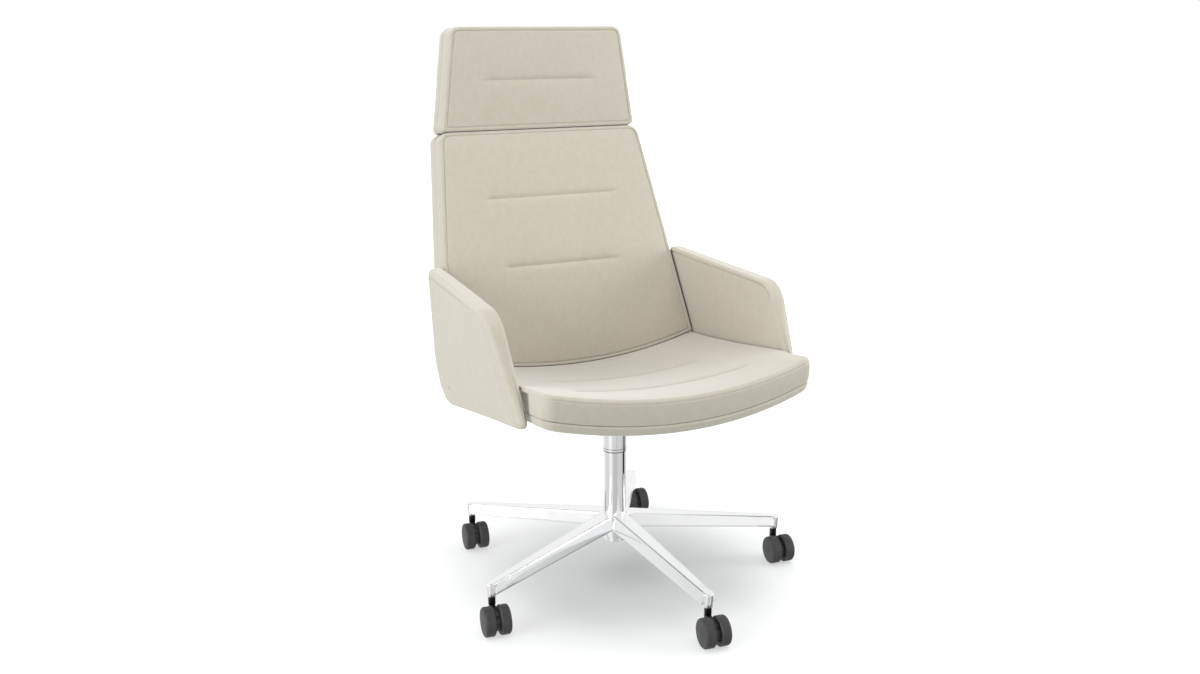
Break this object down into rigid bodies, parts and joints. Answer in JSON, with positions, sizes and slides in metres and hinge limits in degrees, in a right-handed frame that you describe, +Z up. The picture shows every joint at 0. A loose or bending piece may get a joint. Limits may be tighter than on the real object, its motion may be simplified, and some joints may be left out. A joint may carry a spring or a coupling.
{
  "type": "swivel office armchair",
  "caption": "Swivel armchair with padded seat, side panels, tall back and headrest, on a height-adjustable column and star base with twin-wheel casters.",
  "frame": {"origin": "on the floor, on the column axis", "axes": "+Z up along the column, -Y the way the seat faces, +X to the right in the front view"},
  "size_m": [0.7521, 0.8812, 1.1696],
  "materials": {
    "upholstery": "smooth satin, warm beige",
    "polished_base": "mirror polished",
    "chrome": "mirror",
    "black_steel": "satin black",
    "bright_steel": "ground",
    "black_plastic": "matte black",
    "wheel_plastic": "satin dark grey",
    "rubber": "matte",
    "plywood": "raw veneer"
  },
  "bodies": {
    "base": {"star_base": "polished_base", "stand_tube": "chrome", "thrust_bearing": "bright_steel", "guide_bush": "black_plastic"},
    "rod": {"piston_rod": "bright_steel", "retaining_clip": "bright_steel", "rubber_buffer": "rubber"},
    "mechanism": {"gas_cylinder": "black_steel", "column_sleeve": "chrome", "mech_housing": "black_steel", "tilt_shaft": "bright_steel", "torsion_springs": "bright_steel"},
    "seat": {"seat_carrier": "black_steel", "seat_board": "plywood", "seat_pad": "upholstery", "seat_cushion": "upholstery", "back_cushion": "upholstery", "back_shell": "upholstery", "headrest_cushion": "upholstery", "headrest_shell": "upholstery", "arm_panel_left": "upholstery", "arm_panel_right": "upholstery", "arm_bracket_left": "black_steel", "arm_bracket_right": "black_steel", "back_bar_left": "black_steel", "back_bar_right": "black_steel", "headrest_bar_left": "black_steel", "headrest_bar_right": "black_steel", "seat_bolts": "black_steel"},
    "tension": {"tension_knob": "black_plastic", "tension_screw": "bright_steel"},
    "lever_slide": {"lever_pivot_block": "bright_steel"},
    "lever": {"height_lever": "bright_steel", "lever_grip": "black_plastic"},
    "pin": {"release_pin": "bright_steel"},
    "caster_1": {"caster_stem_1": "black_plastic", "caster_web_1": "black_plastic", "caster_axle_1": "bright_steel"},
    "wheel_left_1": {"caster_wheel_left_1": "wheel_plastic"},
    "wheel_right_1": {"caster_wheel_right_1": "wheel_plastic"},
    "caster_2": {"caster_stem_2": "black_plastic", "caster_web_2": "black_plastic", "caster_axle_2": "bright_steel"},
    "wheel_left_2": {"caster_wheel_left_2": "wheel_plastic"},
    "wheel_right_2": {"caster_wheel_right_2": "wheel_plastic"},
    "caster_3": {"caster_stem_3": "black_plastic", "caster_web_3": "black_plastic", "caster_axle_3": "bright_steel"},
    "wheel_left_3": {"caster_wheel_left_3": "wheel_plastic"},
    "wheel_right_3": {"caster_wheel_right_3": "wheel_plastic"},
    "caster_4": {"caster_stem_4": "black_plastic", "caster_web_4": "black_plastic", "caster_axle_4": "bright_steel"},
    "wheel_left_4": {"caster_wheel_left_4": "wheel_plastic"},
    "wheel_right_4": {"caster_wheel_right_4": "wheel_plastic"},
    "caster_5": {"caster_stem_5": "black_plastic", "caster_web_5": "black_plastic", "caster_axle_5": "bright_steel"},
    "wheel_left_5": {"caster_wheel_left_5": "wheel_plastic"},
    "wheel_right_5": {"caster_wheel_right_5": "wheel_plastic"}
  },
  "joints": [
    {"name": "seat_swivel", "type": "hinge", "parent": "base", "child": "rod", "pos_m": [0, 0, 0.088], "axis": [0, 0, 1], "continuous": true},
    {"name": "seat_lift", "type": "slide", "parent": "rod", "child": "mechanism", "axis": [0, 0, 1], "range_m": [0, 0.1]},
    {"name": "seat_tilt", "type": "hinge", "parent": "mechanism", "child": "seat", "pos_m": [0, -0.11, 0.372], "axis": [-1, 0, 0], "range_deg": [0, 12], "stiffness_Nm_per_rad": 160, "springref_deg": -25.78},
    {"name": "tension_turn", "type": "hinge", "parent": "mechanism", "child": "tension", "pos_m": [-0.06, -0.07, 0.363], "axis": [1, 0, 0], "range_deg": [-360, 360]},
    {"name": "tilt_lock", "type": "slide", "parent": "mechanism", "child": "lever_slide", "axis": [1, 0, 0], "range_m": [0, 0.008]},
    {"name": "height_lever_lift", "type": "hinge", "parent": "lever_slide", "child": "lever", "pos_m": [0.02925, 0, 0.349], "axis": [0, -1, 0], "range_deg": [0, 6], "stiffness_Nm_per_rad": 2, "springref_deg": -5.73},
    {"name": "release_press", "type": "slide", "parent": "mechanism", "child": "pin", "axis": [0, 0, -1], "range_m": [0, 0.004]},
    {"name": "caster_swivel_1", "type": "hinge", "parent": "base", "child": "caster_1", "pos_m": [0.19959, 0.30559, 0.0706], "axis": [0, 0, 1], "continuous": true},
    {"name": "wheel_left_roll_1", "type": "hinge", "parent": "caster_1", "child": "wheel_left_1", "pos_m": [0.19633, 0.27688, 0.03], "axis": [0.9936, -0.1129, 0], "continuous": true},
    {"name": "wheel_right_roll_1", "type": "hinge", "parent": "caster_1", "child": "wheel_right_1", "pos_m": [0.19633, 0.27688, 0.03], "axis": [0.9936, -0.1129, 0], "continuous": true},
    {"name": "caster_swivel_2", "type": "hinge", "parent": "base", "child": "caster_2", "pos_m": [-0.22896, 0.28426, 0.0706], "axis": [0, 0, 1], "continuous": true},
    {"name": "wheel_left_roll_2", "type": "hinge", "parent": "caster_2", "child": "wheel_left_2", "pos_m": [-0.23222, 0.25554, 0.03], "axis": [0.9936, -0.1129, 0], "continuous": true},
    {"name": "wheel_right_roll_2", "type": "hinge", "parent": "caster_2", "child": "wheel_right_2", "pos_m": [-0.23222, 0.25554, 0.03], "axis": [0.9936, -0.1129, 0], "continuous": true},
    {"name": "caster_swivel_3", "type": "hinge", "parent": "base", "child": "caster_3", "pos_m": [-0.3411, -0.12991, 0.0706], "axis": [0, 0, 1], "continuous": true},
    {"name": "wheel_left_roll_3", "type": "hinge", "parent": "caster_3", "child": "wheel_left_3", "pos_m": [-0.34436, -0.15863, 0.03], "axis": [0.9936, -0.1129, 0], "continuous": true},
    {"name": "wheel_right_roll_3", "type": "hinge", "parent": "caster_3", "child": "wheel_right_3", "pos_m": [-0.34436, -0.15863, 0.03], "axis": [0.9936, -0.1129, 0], "continuous": true},
    {"name": "caster_swivel_4", "type": "hinge", "parent": "base", "child": "caster_4", "pos_m": [0.01815, -0.36455, 0.0706], "axis": [0, 0, 1], "continuous": true},
    {"name": "wheel_left_roll_4", "type": "hinge", "parent": "caster_4", "child": "wheel_left_4", "pos_m": [0.01489, -0.39326, 0.03], "axis": [0.9936, -0.1129, 0], "continuous": true},
    {"name": "wheel_right_roll_4", "type": "hinge", "parent": "caster_4", "child": "wheel_right_4", "pos_m": [0.01489, -0.39326, 0.03], "axis": [0.9936, -0.1129, 0], "continuous": true},
    {"name": "caster_swivel_5", "type": "hinge", "parent": "base", "child": "caster_5", "pos_m": [0.35231, -0.09539, 0.0706], "axis": [0, 0, 1], "continuous": true},
    {"name": "wheel_left_roll_5", "type": "hinge", "parent": "caster_5", "child": "wheel_left_5", "pos_m": [0.34905, -0.12411, 0.03], "axis": [0.9936, -0.1129, 0], "continuous": true},
    {"name": "wheel_right_roll_5", "type": "hinge", "parent": "caster_5", "child": "wheel_right_5", "pos_m": [0.34905, -0.12411, 0.03], "axis": [0.9936, -0.1129, 0], "continuous": true}
  ],
  "couplings": [
    {"joint": "release_press", "follows": "height_lever_lift", "m_per_rad": 0.0335}
  ]
}
